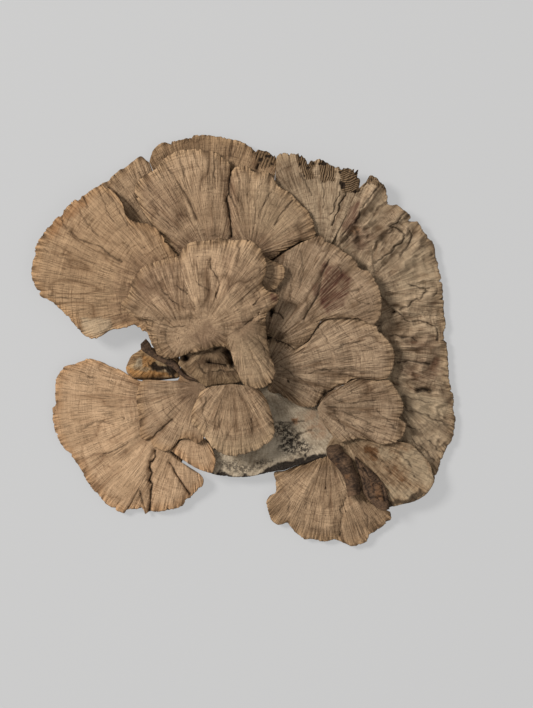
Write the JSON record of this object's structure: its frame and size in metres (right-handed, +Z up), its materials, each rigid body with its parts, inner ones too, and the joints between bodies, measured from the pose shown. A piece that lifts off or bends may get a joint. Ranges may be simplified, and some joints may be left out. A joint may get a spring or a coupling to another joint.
{
  "type": "dried sponge mushroom",
  "caption": "Flat rosette of thin, overlapping, fan-shaped woody caps grown together on a piece of bark, dried, lying on its back.",
  "frame": {"origin": "centre of the outline seen from above, on the flat face that it rests on", "axes": "+Z up, away from the flat face; +X along the widest way across, towards the long wrinkled cap; +Y towards the curled cap at the back"},
  "size_m": [0.2116, 0.2054, 0.0336],
  "materials": {
    "left_cap": "dry felt, warm tan",
    "shoulder_cap": "dry felt, tan",
    "back_cap": "dry felt, tan",
    "crown_cap": "dry felt, tan",
    "curled_cap": "dry felt, grey tan, gills at the rim",
    "right_cap": "dry felt, grey tan, wrinkled",
    "mottled_cap": "dry, peeled, pale with brown",
    "middle_upper_cap": "dry felt, tan with a brown stain",
    "middle_cap": "dry felt, tan",
    "middle_lower_cap": "dry felt, tan",
    "tongue_cap": "dry felt, tan",
    "centre_cap": "dry felt, tan",
    "little_cap": "dry felt, tan",
    "lower_left_cap": "dry felt, pinkish tan",
    "overlay_cap": "dry felt, pinkish tan",
    "wedge_cap": "dry felt, pinkish tan",
    "bottom_cap": "dry felt, grey tan",
    "base_knob": "dry, rough, with pits",
    "bark_slab": "weathered bark, cream grey",
    "twig": "dark bark",
    "bark_strip": "dark splintered bark",
    "dark_sliver": "dark bark",
    "rust_chunk": "broken, crumbly, rust orange"
  },
  "bodies": {
    "root": {"left_cap": "left_cap", "shoulder_cap": "shoulder_cap", "back_cap": "back_cap", "crown_cap": "crown_cap", "curled_cap": "curled_cap", "right_cap": "right_cap", "mottled_cap": "mottled_cap", "middle_upper_cap": "middle_upper_cap", "middle_cap": "middle_cap", "middle_lower_cap": "middle_lower_cap", "tongue_cap": "tongue_cap", "centre_cap": "centre_cap", "little_cap": "little_cap", "lower_left_cap": "lower_left_cap", "overlay_cap": "overlay_cap", "wedge_cap": "wedge_cap", "bottom_cap": "bottom_cap", "base_knob": "base_knob", "bark_slab": "bark_slab", "twig": "twig", "bark_strip": "bark_strip", "dark_sliver": "dark_sliver", "rust_chunk": "rust_chunk"}
  },
  "joints": []
}
